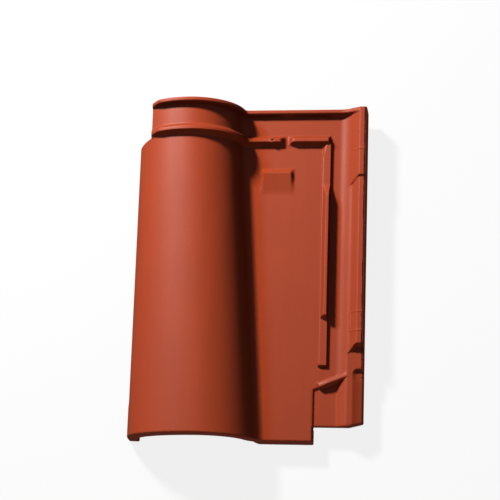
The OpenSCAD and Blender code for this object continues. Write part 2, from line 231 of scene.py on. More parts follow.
@dataclass(frozen=True)
class Roll:
    """Tapered hollow roll: half an ellipse on the left, a circle on the right, a hollow at its foot."""

    extent: Extent
    crest_height: float = 76.0
    crest_set_tail: float = 88.0
    crest_set_head: float = 67.0
    radius_tail: float = 59.0
    radius_head: float = 49.0
    hollow_radius: float = 12.0
    spring_height: float = 10.0
    leg_height: float = 26.0
    foot_length: float = 15.0
    foot_ramp: float = 26.0
    ramp_round: float = 0.1
    notch_width: float = 20.0
    notch_length: float = 40.0
    notch_slant: float = math.radians(14.0)
    notch_fade: float = 40.0
    rib_end_share: float = 0.3
    rib_fade: float = 14.0
    leg_cells: int = 10
    crown_cells: int = 24
    right_cells: int = 28
    hollow_cells: int = 10

    def taper(self, tail_size: float, head_size: float, y: Array) -> Array:
        """Size at y, in a straight line from its tail value to its head value."""
        share = (y - self.extent.tail) / (self.extent.head - self.extent.tail)
        return tail_size + (head_size - tail_size) * share

    def crest_x(self, y: Array) -> Array:
        """Place of the crest across the tile."""
        return self.extent.left + self.taper(self.crest_set_tail, self.crest_set_head, y)

    def radius(self, y: Array) -> Array:
        """Radius of the right half."""
        return self.taper(self.radius_tail, self.radius_head, y)

    def foot_angle(self, y: Array) -> Array:
        """Angle at which the right half meets the hollow: both circles touch and the pan is tangent."""
        rise = self.extent.pan_height + self.hollow_radius - self.crest_height + self.radius(y)
        return np.arcsin(rise / (self.radius(y) + self.hollow_radius))

    def foot_x(self, y: Array) -> Array:
        """Place where the hollow runs out into the pan."""
        return self.crest_x(y) + (self.radius(y) + self.hollow_radius) * np.cos(self.foot_angle(y))

    def leg_z(self, y: Array) -> Array:
        """Lower edge of the left leg: on the ground at the tail foot, then a ramp up to the leg."""
        ramp = (y - self.extent.tail - self.foot_length) / self.foot_ramp
        return self.leg_height * soft_step(ramp, self.ramp_round)

    def notch_x(self) -> float:
        """Side of the notch at the left of the head."""
        return self.extent.left + self.notch_width

    def notch_y(self) -> float:
        """Inner corner of the notch at the left of the head."""
        return self.extent.head - self.notch_length

    def notch_shift(self, x: Array, y: Array) -> Array:
        """Tailward move of the rows below the notch, which slants its end.

        The move grows with the distance left of the notch's side and fades out toward the tail.

        Args:
            x: Places across the tile.
            y: Rows.

        Returns:
            The move at each place.
        """
        below = np.clip(1.0 - (self.notch_y() - y) / self.notch_fade, 0.0, 1.0)
        fade = np.where(y > self.notch_y(), 0.0, below)
        return np.clip(self.notch_x() - x, 0.0, None) * math.tan(self.notch_slant) * fade

    def rib_share(self, x: Array) -> Array:
        """Share of a rib's height left at x: full, then falling toward the notch at the left."""
        rise = np.clip((x - self.notch_x()) / self.rib_fade, 0.0, 1.0)
        return self.rib_end_share + (1.0 - self.rib_end_share) * rise

    def left_half(self, y: Array, off: float, rib: Array) -> tuple[Array, Array]:
        """Left leg and left half: an ellipse about the crest line at spring height, grown by off and rib.

        The first columns run from the lower edge of the leg to the notch line, the rest from
        there to the crest. Below the spring the leg goes straight down.

        Args:
            y: Rows, as a column of values.
            off: Growth of both half axes.
            rib: Further growth in each row, which falls toward the notch.

        Returns:
            x and z of the points.
        """
        half_width = self.crest_x(y) - self.extent.left
        half_height = self.crest_height - self.spring_height
        least = off + rib * self.rib_end_share
        leg_angle = math.pi - np.arcsin((self.leg_z(y) - self.spring_height) / (half_height + least))
        notch_angle = np.arccos((self.notch_x() - self.crest_x(y)) / (half_width + least))
        leg = leg_angle + (notch_angle - leg_angle) * shares(self.leg_cells)
        crown = notch_angle + (math.pi / 2 - notch_angle) * shares(self.crown_cells)
        angle = np.concatenate((leg, crown), axis=1)
        grown = off + rib * self.rib_share(self.crest_x(y) + (half_width + least) * np.cos(angle))
        x = self.crest_x(y) + (half_width + grown) * np.cos(np.minimum(angle, math.pi))
        return x, self.spring_height + (half_height + grown) * np.sin(angle)

    def right_half(self, y: Array, off: Array) -> tuple[Array, Array]:
        """Right half: a circle below the crest, grown by off, from the crest to the hollow.

        Args:
            y: Rows, as a column of values.
            off: Growth of the radius in each row.

        Returns:
            x and z of the points.
        """
        angle = math.pi / 2 + (self.foot_angle(y) - math.pi / 2) * shares(self.right_cells)
        reach = self.radius(y) + off
        return (self.crest_x(y) + reach * np.cos(angle),
                self.crest_height - self.radius(y) + reach * np.sin(angle))

    def hollow(self, y: Array, off: Array) -> tuple[Array, Array]:
        """Hollow at the foot: a circle above the pan, shrunk by off, down to its lowest point.

        Args:
            y: Rows, as a column of values.
            off: Loss of the radius in each row.

        Returns:
            x and z of the points.
        """
        start = math.pi + self.foot_angle(y)
        angle = start + (1.5 * math.pi - start) * shares(self.hollow_cells)
        reach = self.hollow_radius - off
        return (self.foot_x(y) + reach * np.cos(angle),
                self.extent.pan_height + self.hollow_radius + reach * np.sin(angle))


@dataclass(frozen=True)
class HeadLock:
    """Two ribs across the head, the drain gap, the nail boss and the wedge pad below them."""

    extent: Extent
    rib_height: float = 8.5
    rib_top: float = 4.5
    rib_flank: float = 2.0
    rib_back: float = 4.0
    second_rib_set: float = 36.0
    gap_set: float = 92.0
    gap_width: float = 4.0
    rib_bevel: float = 5.0
    rib_end_set: float = 42.2
    rib_end_run: float = 1.2
    rib_end_round: float = 0.2
    boss_set: float = 108.0
    boss_radius: float = 4.0
    boss_rise: float = 0.6
    boss_flank: float = 1.2
    boss_round: float = 0.3
    pit_radius: float = 1.5
    pit_flank: float = 1.1
    pit_depth: float = 3.0
    pad_set: float = 84.0
    pad_width: float = 37.0
    pad_head_set: float = 67.5
    pad_length: float = 30.0
    pad_slope: float = 6.0
    pad_height: float = 5.0
    pad_draft: float = 2.0
    pad_round: float = 0.4
    pad_foot_round: float = 0.2
    round: float = 0.6

    def second_y(self) -> float:
        """Middle of the second rib."""
        return self.extent.head - self.second_rib_set

    def first_share(self, y: Array) -> Array:
        """Flank of the rib along the head edge: 0 at its base, 1 at its top."""
        return (y - self.extent.head + self.rib_top + self.rib_flank) / self.rib_flank

    def second_share(self, y: Array) -> Array:
        """The lesser of both flanks of the second rib: 0 at the base, 1 at the top."""
        across = y - self.second_y()
        half = self.rib_top / 2
        return np.minimum((across + half) / self.rib_flank, (half - across) / self.rib_back) + 1.0

    def roll_rise(self, y: Array) -> Array:
        """Height of the two ribs where they cross the roll, with rounded corners."""
        return self.rib_height * np.maximum(soft_step(self.first_share(y)), soft_step(self.second_share(y)))

    def rise(self, x: Array, y: Array) -> Array:
        """Height of ribs, boss and pad above the pan.

        The second rib is the lesser of its flanks and its ends: a bevel on each side of the drain
        gap, and a steep end at the right. The boss is a round rise with a conical pit, and its
        flank is centred on its radius.

        Args:
            x: Places across the tile.
            y: Places along the tile.

        Returns:
            The height at each place.
        """
        gap = self.extent.right - self.gap_set
        left_end = (gap - self.gap_width / 2 - x) / self.rib_bevel
        right_end = np.minimum((x - gap - self.gap_width / 2) / self.rib_bevel,
                               (self.extent.right - self.rib_end_set - x) / self.rib_end_run)
        second = soft_min(self.second_share(y), np.maximum(left_end, right_end), self.rib_end_round)
        ribs = self.rib_height * np.maximum(soft_step(self.first_share(y)), soft_step(second))
        reach = np.hypot(x - self.extent.right + self.boss_set, y - self.second_y())
        on_boss = soft_step((self.boss_radius - reach) / self.boss_flank + 0.5)
        boss = (self.rib_height + self.boss_rise) * on_boss
        pit = self.pit_depth * soft_step((self.pit_radius - reach) / self.pit_flank)
        return soft_max(soft_max(ribs, boss, self.boss_round) - pit, self.pad_rise(x, y), self.round)

    def pad_rise(self, x: Array, y: Array) -> Array:
        """Height of the wedge pad: a long slope toward the tail, a short one toward the head, steep sides.

        Args:
            x: Places across the tile.
            y: Places along the tile.

        Returns:
            The least of the four slopes, floored at 0.
        """
        head_end = self.extent.head - self.pad_head_set
        right_end = self.extent.right - self.pad_set
        long_slope = self.pad_height * (y - head_end + self.pad_length) / (self.pad_length - self.pad_slope)
        short_slope = self.pad_height * (head_end - y) / self.pad_slope
        sides = self.pad_height * np.minimum(right_end - x, x - right_end + self.pad_width) / self.pad_draft
        slopes = soft_min(long_slope, short_slope, self.pad_round)
        return soft_floor(soft_min(slopes, sides, self.pad_round), self.pad_foot_round)


@dataclass(frozen=True)
class SideLock:
    """Inner rib and stepped outer lock along the right edge."""

    extent: Extent
    inner_set: float = 41.0
    inner_base: float = 10.5
    inner_top: float = 3.5
    inner_draft: float = 0.8
    inner_edge: float = 1.3
    inner_edge_drop: float = 0.5
    inner_low: float = 4.5
    inner_tall: float = 13.0
    inner_length: float = 259.0
    inner_start_set: float = 36.0
    tall_start: float = 95.0
    tall_length: float = 147.0
    tall_ramp: float = 12.0
    tall_end: float = 2.0
    tall_round: float = 0.2
    end_slope: float = 3.5
    join_width: float = 6.0
    join_length: float = 22.0
    slope_set: float = 25.0
    crown_set: float = 8.0
    height: float = 19.0
    mid_height: float = 16.5
    low_height: float = 6.0
    under_height: float = 4.5
    head_step_set: float = 80.0
    first_step_set: float = 108.0
    step_slant: float = math.radians(40.0)
    step_run: float = 1.2
    slope_drop: float = 2.5
    drop_set: float = 20.0
    drop_fade: float = 4.0
    scoop_depth: float = 3.0
    scoop_width: float = 4.0
    scoop_length: float = 14.0
    strip_length: float = 81.0
    strip_width: float = 12.0
    strip_fall: float = 7.0
    strip_round: float = 0.05
    slope_round: float = 7.4
    edge_round: float = 0.5
    line_height: float = 0.6
    line_width: float = 1.0
    frame_set: float = 16.0
    frame_tail: float = 123.0
    frame_head: float = 144.0
    seam_set: float = 49.5
    seam_reach: float = 15.0

    def slope_x(self) -> float:
        """Place where the outer lock's slope leaves the pan."""
        return self.extent.right - self.slope_set

    def crown_x(self) -> float:
        """Inner edge of the outer lock's top at the head."""
        return self.extent.right - self.crown_set

    def inner_rise(self, x: Array, y: Array) -> Array:
        """Height of the inner rib: the least of its lengthwise height, its sides and its two ends.

        The left side is upright on the low block, then has a worn edge, and slants on the ridge
        above it. Toward the second head rib it leans back more and more. The right side is upright.

        Args:
            x: Places across the tile.
            y: Places along the tile.

        Returns:
            The height at each place, well below 0 away from the rib.
        """
        start = self.extent.head - self.tall_start
        stop = start - self.tall_length
        first = self.extent.head - self.inner_start_set
        climb = np.minimum((start + self.tall_ramp / 2 - y) / self.tall_ramp, (y - stop) / self.tall_end)
        ridge_height = self.inner_tall - self.inner_low
        height = self.inner_low + ridge_height * soft_step(climb, self.tall_round)
        right_side = self.extent.right - self.inner_set
        from_left = x - right_side + self.inner_base
        ridge_foot = self.inner_draft + self.inner_edge
        slant = ridge_height / (self.inner_base - self.inner_top - self.inner_draft - ridge_foot)
        join = np.clip((y - first) / self.join_length + 1.0, 0.0, 1.0)
        draft = self.inner_draft + (self.join_width - self.inner_draft) * join
        edge = self.inner_edge_drop * ((from_left - draft) / self.inner_edge - 1.0)
        ridge = (from_left - ridge_foot) * slant
        left = soft_min(from_left * self.inner_low / draft, self.inner_low + np.maximum(edge, ridge),
                        self.edge_round)
        right = (right_side - x) * self.inner_tall / self.inner_draft
        end = self.inner_low + (y - first + self.inner_length) * self.end_slope
        begin = self.inner_low + (first - y) * self.end_slope
        across = soft_min(soft_min(height, left, self.edge_round), right, self.edge_round)
        return soft_min(soft_min(across, end, self.edge_round), begin, self.edge_round)

    def past_step(self, x: Array, y: Array, end: float) -> Array:
        """Share of a step passed at a place: 0 headward of its slanted end, 1 tailward of it.

        Args:
            x: Places across the tile.
            y: Places along the tile.
            end: Place of the step along the tile, at the crown.

        Returns:
            The share at each place.
        """
        slanted = end - np.clip(self.crown_x() - x, 0.0, None) * math.tan(self.step_slant)
        return soft_step((slanted - y) / self.step_run)

    def outer_rise(self, x: Array, y: Array) -> Array:
        """Height of the outer lock: a slope up to the crown, capped by the stepped top.

        Past the head step the upper part of the slope lies a little lower. Near the tail the top has
        a strip along the right edge that falls toward it and starts with a shallow scoop.

        Args:
            x: Places across the tile.
            y: Places along the tile.

        Returns:
            The height at each place; left of the slope it goes on down below the pan.
        """
        tail, head = self.extent.tail, self.extent.head
        past_head = self.past_step(x, y, head - self.head_step_set)
        slope = self.height * (x - self.slope_x()) / (self.crown_x() - self.slope_x())
        upper = soft_step((x - self.extent.right + self.drop_set) / self.drop_fade)
        slope = slope - self.slope_drop * past_head * upper
        cap = self.height - (self.height - self.mid_height) * past_head
        cap -= (self.mid_height - self.low_height) * self.past_step(x, y, tail + self.first_step_set)
        over_strip = x - self.extent.right + self.strip_width
        fall = self.strip_fall * soft_floor(over_strip / self.strip_width, self.strip_round)
        near_end = np.clip(1.0 - (tail + self.strip_length - y) / self.scoop_length, 0.0, 1.0)
        fall += self.scoop_depth * soft_step(over_strip / self.scoop_width) * near_end
        cap -= fall * self.past_step(x, y, tail + self.strip_length)
        return soft_min(slope, cap, self.edge_round) + self.moulded_lines(x, y)

    def moulded_lines(self, x: Array, y: Array) -> Array:
        """Height of the fine raised lines on the outer lock: a frame open to the right, and a seam.

        Each line falls off in a straight slope from its middle to both sides.

        Args:
            x: Places across the tile.
            y: Places along the tile.

        Returns:
            The height at each place.
        """
        start = self.extent.right - self.frame_set
        low, high = self.extent.tail + self.frame_tail, self.extent.tail + self.frame_head
        box = np.maximum(np.maximum(start - x, low - y), y - high)
        seam = np.maximum(np.abs(y - self.extent.head + self.seam_set),
                          self.extent.right - self.seam_reach - x)
        nearest = np.minimum(np.abs(box), seam)
        return self.line_height * np.clip(1.0 - nearest / self.line_width, 0.0, 1.0)

    def under_rise(self, x: Array) -> Array:
        """Rise of the underside below the outer lock, from just past the slope's foot to its crown."""
        start = self.slope_x() + self.height / 3
        return self.under_height * soft_step((x - start) / (self.crown_x() - start))


@dataclass(frozen=True)
class TailLock:
    """Diverter lip, lowered tongue and corner notch at the tail of the side lock."""

    extent: Extent
    lip_set: float = 61.6
    lip_side_set: float = 49.2
    lip_length: float = 35.0
    lip_angle: float = math.radians(21.5)
    lip_top: float = 1.0
    lip_back: float = 4.6
    lip_crown: float = 0.35
    lip_face_slope: float = 9.0
    lip_height: float = 6.4
    lip_end_height: float = 4.2
    lip_slope: float = 10.0
    lip_slope_round: float = 0.2
    lip_end_slope: float = 4.0
    lip_round: float = 0.8
    tongue_depth: float = 2.5
    tongue_width: float = 27.0
    tongue_side: float = 0.8
    notch_width: float = 56.0
    notch_length: float = 18.0
    chamfer_width: float = 16.0
    chamfer_length: float = 4.0
    chamfer_fade: float = 24.0
    lip_clear: float = 8.0
    lip_fade: float = 46.0

    def notch_x(self) -> float:
        """Side of the notch at the right of the tail."""
        return self.extent.right - self.notch_width

    def notch_y(self) -> float:
        """End of the notch at the right of the tail."""
        return self.extent.tail + self.notch_length

    def lip_places(self, x: Array, y: Array) -> tuple[Array, Array]:
        """Places along and across the slanted lip.

        Args:
            x: Places across the tile.
            y: Places along the tile.

        Returns:
            Distance along the lip from its inner end, and across it toward the head.
        """
        right = x - self.extent.right + self.lip_side_set
        up = y - self.extent.tail - self.lip_set
        cosine, sine = math.cos(self.lip_angle), math.sin(self.lip_angle)
        return right * cosine + up * sine, up * cosine - right * sine

    def lip_rise(self, x: Array, y: Array) -> Array:
        """Height of the lip: the least of its rounded back, its steep tail face and its two ends.

        The ridge climbs from the inner end and then stays level. The back falls from the ridge
        with the square of the distance by a share of the height, and then steeply to the pan.

        Args:
            x: Places across the tile.
            y: Places along the tile.

        Returns:
            The height at each place, well below 0 away from the lip.
        """
        along, across = self.lip_places(x, y)
        climb = soft_step(along / self.lip_slope, self.lip_slope_round)
        ridge = self.lip_end_height + (self.lip_height - self.lip_end_height) * climb
        bow = 1.0 - self.lip_crown * np.square(np.clip(across / self.lip_back, 0.0, 1.0))
        back = ridge * bow - np.clip(across - self.lip_back, 0.0, None) * self.lip_face_slope
        face = ridge + (across + self.lip_top) * self.lip_face_slope
        ends = ridge + np.minimum(along, self.lip_length - along) * self.lip_end_slope
        return soft_min(soft_min(back, face, self.lip_round), ends, self.lip_round)

    def floor_rise(self, x: Array, y: Array) -> Array:
        """Level of the pan, lowered on the tongue tailward of the lip.

        The tongue's left side is steep, and its right side slopes up toward the outer lock.

        Args:
            x: Places across the tile.
            y: Places along the tile.

        Returns:
            The level at each place.
        """
        _, across = self.lip_places(x, y)
        left = (x - self.notch_x()) / self.tongue_side
        right = (self.notch_x() + self.tongue_width + self.tongue_depth - x) / self.tongue_depth
        return -self.tongue_depth * soft_step(np.minimum(np.minimum(left, right), -across / self.tongue_side))

    def lip_shift(self, x: Array, y: Array) -> Array:
        """Headward move of the rows that lays them along the lip.

        The move follows the lip's slant over its length. It fades out toward the tail notch on one
        side, and over a set length on the other.

        Args:
            x: Places across the tile.
            y: Rows.

        Returns:
            The move at each place.
        """
        reach = self.lip_length * math.cos(self.lip_angle)
        slant = np.clip(x - self.extent.right + self.lip_side_set, 0.0, reach)
        up = y - self.extent.tail - self.lip_set
        from_notch = self.lip_set - self.notch_length
        tailward = (up + from_notch) / (from_notch - self.lip_clear)
        headward = 1.0 - (up - self.lip_clear) / self.lip_fade
        return slant * math.tan(self.lip_angle) * np.clip(np.minimum(tailward, headward), 0.0, 1.0)

    def chamfer(self, x: Array, y: Array) -> Array:
        """Headward move of the rows beside the notch, which cuts its outer corner.

        The move grows with x over the chamfer's width and fades out with y.

        Args:
            x: Places across the tile.
            y: Rows.

        Returns:
            The move at each place.
        """
        share = np.clip((x - self.extent.right + self.chamfer_width) / self.chamfer_width, 0.0, 1.0)
        fade = np.clip(1.0 - (y - self.notch_y()) / self.chamfer_fade, 0.0, 1.0)
        return self.chamfer_length * share * np.where(y < self.notch_y(), 0.0, fade)


@dataclass(frozen=True)
class Underside:
    """Tail nose and hanging nib, both down to the resting plane."""

    extent: Extent
    nose_set: float = 145.0
    nose_length: float = 15.0
    nose_back: float = 3.0
    nose_edge: float = 2.0
    nib_set: float = 52.0
    nib_length: float = 14.0
    nib_width: float = 58.0
    nib_side_set: float = 72.0
    nib_draft: float = 2.5
    steep: float = 12.0
    round: float = 0.4

    def nose_share(self, x: Array) -> Array:
        """1 over the nose, falling to 0 over a short edge left of it."""
        return np.clip((x - self.extent.left - self.nose_set) / self.nose_edge + 1.0, 0.0, 1.0)

    def level(self, x: Array, y: Array, base: Array) -> Array:
        """Underside with nose and nib: the least of the base, the nose and the nib.

        Each of the two is the greatest of its slanted flanks, floored at the resting plane.

        Args:
            x: Places across the tile.
            y: Places along the tile.
            base: Underside without them.

        Returns:
            The level at each place.
        """
        rise = self.extent.under_height
        back = (y - self.extent.tail - self.nose_length) * rise / self.nose_back
        side = (self.extent.left + self.nose_set - x) * self.steep
        nose = soft_floor(np.maximum(back, side), self.round)
        face = self.extent.head - self.nib_set
        end = self.extent.right - self.nib_side_set
        sides = np.maximum(end - self.nib_width - x, x - end) + self.nib_draft
        drafted = np.maximum(y - face - self.nib_length, sides) * rise / self.nib_draft
        nib = soft_floor(np.maximum((face - y) * self.steep, drafted), self.round)
        lowest = soft_min(soft_min(base, nose, self.round), nib, self.round)
        return np.maximum(lowest, 0.0)


@dataclass(frozen=True)
class ClayFinish:
    """One skin of the fired clay: its colours, gloss and grain."""

    name: str
    body: Colour
    blotch: Colour
    fleck: Colour
    blotch_share: float
    fleck_share: float
    roughness_low: float
    roughness_high: float
    specular: float
    grain_depth: float

    def material(self, grain: bpy.types.NodeTree) -> bpy.types.Material:
        """Builds the skin's material around the shared grain group.

        The body colour is mixed toward the blotch colour by the broad pattern, then toward the
        fleck colour by the fine one. Roughness follows the broad pattern, and the grain is bump.

        Args:
            grain: The shared grain node group.

        Returns:
            The material.
        """
        material = bpy.data.materials.new(self.name)
        material.use_nodes = True
        tree = material.node_tree
        place = add_node(tree, "ShaderNodeTexCoord", {}).outputs["Object"]
        pattern = add_node(tree, "ShaderNodeGroup", {}, node_tree=grain)
        feed(tree, pattern, {"Vector": place})
        blotch, fleck, height = (pattern.outputs[name] for name in ("Blotch", "Fleck", "Grain"))
        blotched = self.mix(tree, blotch, self.blotch_share, (*self.body, 1.0), self.blotch)
        gloss = add_node(tree, "ShaderNodeMapRange", {
            "Value": blotch, "To Min": self.roughness_low, "To Max": self.roughness_high})
        bump = add_node(tree, "ShaderNodeBump", {
            "Strength": 1.0, "Distance": self.grain_depth, "Height": height})
        feed(tree, tree.nodes["Principled BSDF"], {
            "Base Color": self.mix(tree, fleck, self.fleck_share, blotched, self.fleck),
            "Roughness": gloss.outputs["Result"],
            "Specular IOR Level": self.specular,
            "Normal": bump.outputs["Normal"]})
        return material

    @staticmethod
    def mix(tree: bpy.types.NodeTree, mask: bpy.types.NodeSocket, share: float,
            base: bpy.types.NodeSocket | tuple[float, ...], over: Colour) -> bpy.types.NodeSocket:
        """Adds a colour mix steered by a mask.

        Args:
            tree: Node tree that gets the nodes.
            mask: Mask from 0 to 1.
            share: Strength of the mix where the mask is 1.
            base: Colour to mix over, as a socket or as plain values.
            over: Colour that is mixed in.

        Returns:
            The mixed colour's socket.
        """
        amount = add_node(tree, "ShaderNodeMath", {0: mask, 1: share}, operation="MULTIPLY")
        mixer = add_node(tree, "ShaderNodeMix", {
            MIX_FACTOR: amount.outputs[0], MIX_BASE: base, MIX_OVER: (*over, 1.0)}, data_type="RGBA")
        return mixer.outputs[MIX_RESULT]


@dataclass(frozen=True)
class ClayGrain:
    """Patterns of fired clay that both skins share: scales per metre, octaves, and ranges that are kept."""

    blotch_scale: float = 16.0
    blotch_detail: float = 5.0
    blotch_range: Stop = (0.75, 1.25)
    streak_scale: Triple = (70.0, 7.0, 70.0)
    streak_detail: float = 3.0
    fleck_scale: float = 420.0
    fleck_detail: float = 2.0
    fleck_range: Stop = (0.58, 0.72)
    grain_scale: float = 900.0
    grain_detail: float = 3.0

    def group(self) -> bpy.types.NodeTree:
        """Builds the node group.

        Blotch is broad noise added to noise drawn out along the tile, Fleck is the top of a fine
        noise, and Grain is a finer noise used as height.

        Returns:
            The node group, with the input Vector and the outputs Blotch, Fleck and Grain.
        """
        tree = bpy.data.node_groups.new("fired_clay_grain", "ShaderNodeTree")
        tree.interface.new_socket("Vector", in_out="INPUT", socket_type="NodeSocketVector")
        for name in ("Blotch", "Fleck", "Grain"):
            tree.interface.new_socket(name, in_out="OUTPUT", socket_type="NodeSocketFloat")
        place = add_node(tree, "NodeGroupInput", {}).outputs["Vector"]
        broad = self.noise(tree, place, self.blotch_scale, self.blotch_detail)
        drawn = add_node(tree, "ShaderNodeMapping", {"Vector": place, "Scale": self.streak_scale})
        streak = self.noise(tree, drawn.outputs["Vector"], 1.0, self.streak_detail)
        both = add_node(tree, "ShaderNodeMath", {0: broad, 1: streak}, operation="ADD")
        fine = self.noise(tree, place, self.fleck_scale, self.fleck_detail)
        add_node(tree, "NodeGroupOutput", {
            "Blotch": self.spread(tree, both.outputs[0], self.blotch_range),
            "Fleck": self.spread(tree, fine, self.fleck_range),
            "Grain": self.noise(tree, place, self.grain_scale, self.grain_detail)})
        return tree

    @staticmethod
    def noise(tree: bpy.types.NodeTree, vector: bpy.types.NodeSocket, scale: float,
              detail: float) -> bpy.types.NodeSocket:
        """Adds a noise texture.

        Args:
            tree: Node tree that gets the node.
            vector: Coordinates.
            scale: Waves per unit of the coordinates.
            detail: Octaves.

        Returns:
            The noise value's socket.
        """
        node = add_node(tree, "ShaderNodeTexNoise", {"Vector": vector, "Scale": scale, "Detail": detail})
        return node.outputs["Fac"]

    @staticmethod
    def spread(tree: bpy.types.NodeTree, value: bpy.types.NodeSocket, kept: Stop) -> bpy.types.NodeSocket:
        """Adds a node that stretches a range of a value to 0 to 1.

        Args:
            tree: Node tree that gets the node.
            value: Value to stretch.
            kept: Values that become 0 and 1.

        Returns:
            The stretched value's socket.
        """
        low, high = kept
        node = add_node(tree, "ShaderNodeMapRange", {"Value": value, "From Min": low, "From Max": high})
        return node.outputs["Result"]


ENGOBE = ClayFinish(
    name="satin_red_engobe",
    body=(0.43, 0.057, 0.016),
    blotch=(0.37, 0.046, 0.012),
    fleck=(0.30, 0.04, 0.013),
    blotch_share=0.5,
    fleck_share=0.25,
    roughness_low=0.48,
    roughness_high=0.54,
    specular=0.5,
    grain_depth=0.00012,
)
BARE_CLAY = ClayFinish(
    name="bare_red_clay",
    body=(0.42, 0.10, 0.045),
    blotch=(0.34, 0.075, 0.034),
    fleck=(0.5, 0.2, 0.12),
    blotch_share=0.7,
    fleck_share=0.35,
    roughness_low=0.78,
    roughness_high=0.9,
    specular=0.3,
    grain_depth=0.0003,
)


@dataclass
class RoofTile:
    """The whole tile: one closed shell between its upper and lower faces."""

    extent: Extent
    roll_draft: float = 3.5
    pan_draft: float = 1.5
    lower_draft: float = 1.0
    draft_fade: float = 12.0
    spread_end: float = 52.0
    spread_cells: int = 34
    fillet: float = 0.6
    rim_round: float = 1.5
    side_round: float = 2.6
    rim_segments: int = 3
    growth: float = 0.35
    row_coarse: float = 5.0
    row_rim: float = 1.9
    column_coarse: float = 2.6
    column_rim: float = 3.4
    roll: Roll = field(init=False)
    head_lock: HeadLock = field(init=False)
    side_lock: SideLock = field(init=False)
    tail_lock: TailLock = field(init=False)
    underside: Underside = field(init=False)

    def __post_init__(self) -> None:
        """Makes the sub-assemblies on the same extent."""
        self.roll = Roll(self.extent)
        self.head_lock = HeadLock(self.extent)
        self.side_lock = SideLock(self.extent)
        self.tail_lock = TailLock(self.extent)
        self.underside = Underside(self.extent)

    def rows(self) -> Array:
        """Rows of the grid, fine at every feature that crosses the tile.

        A stop is a distance from the tail or from the head, and the spacing of the rows there.

        Returns:
            Their places along the tile.
        """
        roll, side, lip = self.roll, self.side_lock, self.tail_lock.lip_set
        ribs, under = self.head_lock, self.underside
        tall_stop = self.extent.head - self.extent.tail - side.tall_start - side.tall_length
        half_ramp = side.tall_ramp / 2
        from_tail = [
            # Tail face, nose, notch and foot.
            (0.0, 2.3), (self.draft_fade, 1.6), (under.nose_length, 0.9),
            (self.tail_lock.notch_length, 2.2), (roll.foot_length + roll.foot_ramp, 2.0),
            # Face, ridge and back of the lip.
            (lip - 4, 0.6), (lip - 1.5, 0.4), (lip + 2, 0.45), (lip + 4, 0.45), (lip + 6, 0.5),
            # The two slanted tail steps.
            (84, 0.6), (92, 0.9), (100, 0.8), (105, 0.7), (110, 0.8),
            # Moulded frame and tail end of the tall stretch.
            (side.frame_tail, 0.5), (tall_stop, 0.5), (tall_stop + side.tall_end, 0.5),
            (side.frame_head, 0.5)]
        from_head = [
            # Ramp of the tall stretch, then the head step.
            (106, 1.2), (side.tall_start + half_ramp, 0.9), (side.tall_start - half_ramp, 0.8),
            (side.head_step_set, 0.6),
            # Short slope of the pad, nib and seam.
            (73, 0.7), (ribs.pad_head_set, 0.7), (under.nib_set, 0.8), (side.seam_set, 0.5),
            # Rim of the notch, then both flanks of the second rib.
            (roll.notch_length + self.row_rim, 1.2), (roll.notch_length, 2.2),
            (37.8, 0.4), (34, 0.5), (29.5, 0.8),
            # Flank of the rib along the head edge, then the head's rim.
            (ribs.rib_top + ribs.rib_flank, 0.4), (ribs.rib_top, 0.4),
            (self.row_rim, 1.2), (0.0, self.row_rim)]
        stops = [(self.extent.tail + place, pace) for place, pace in from_tail]
        stops += [(self.extent.head - place, pace) for place, pace in from_head]
        return graded_lines(stops, self.growth, self.row_coarse)

    def lock_columns(self) -> Array:
        """Columns of the grid right of the pan's middle, fine at the side lock's edges.

        A stop is a distance from the right edge, and the spacing of the columns there.

        Returns:
            Their places across the tile.
        """
        side, notch = self.side_lock, self.tail_lock.notch_width
        block_edge = side.inner_set + side.inner_base - side.inner_draft
        ridge_right = side.inner_set + side.inner_draft
        from_right = [
            # Left side of the notch and the tongue.
            (notch, 2.0), (notch - self.tail_lock.tongue_side, 0.4),
            # Inner rib: its low block, its ridge and its right side.
            (block_edge + side.inner_draft, 0.4), (block_edge, 0.4), (block_edge - side.inner_edge, 0.4),
            (ridge_right + side.inner_top, 0.6), (ridge_right, 0.35), (side.inner_set, 0.35),
            # Outer lock: the start of its slope, its lines, strip and crown, then the rim.
            (31, 1.2), (side.frame_set, 0.4), (side.seam_reach, 0.4), (side.strip_width, 0.7),
            (side.crown_set, 0.7), (self.column_rim, 1.6), (0.0, self.column_rim)]
        stops = [(self.spread_end, 1.2)]
        stops += [(self.extent.right - place, pace) for place, pace in from_right]
        return graded_lines(stops, self.growth, self.column_coarse)

    def pan_columns(self, y: Array) -> Array:
        """Columns of the pan: equal cells from the roll's foot to the spread's end, then the lock's.

        Args:
            y: Rows, as a column of values.

        Returns:
            x of every point of the pan.
        """
        foot = self.roll.foot_x(y)
        spread = foot + (self.spread_end - foot) * shares(self.spread_cells)
        lock = np.broadcast_to(self.lock_columns(), (len(y), len(self.lock_columns())))
        return np.concatenate((spread, lock), axis=1)

    def pan_rise(self, x: Array, y: Array) -> Array:
        """Height of the upper face above the pan: the greatest of all its locks, filleted together.

        The head lock stands on the outer lock and runs out at its crown.

        Args:
            x: Places across the tile.
            y: Places along the tile.

        Returns:
            The height at each place.
        """
        floor = self.tail_lock.floor_rise(x, y)
        rise = soft_max(floor, floor + self.side_lock.outer_rise(x, y), self.side_lock.slope_round)
        rise = rise + self.head_lock.rise(x, y) * (1.0 - np.clip(rise / self.side_lock.height, 0.0, 1.0))
        for part in (self.side_lock.inner_rise, self.tail_lock.lip_rise):
            rise = soft_max(rise, part(x, y), self.fillet)
        return rise

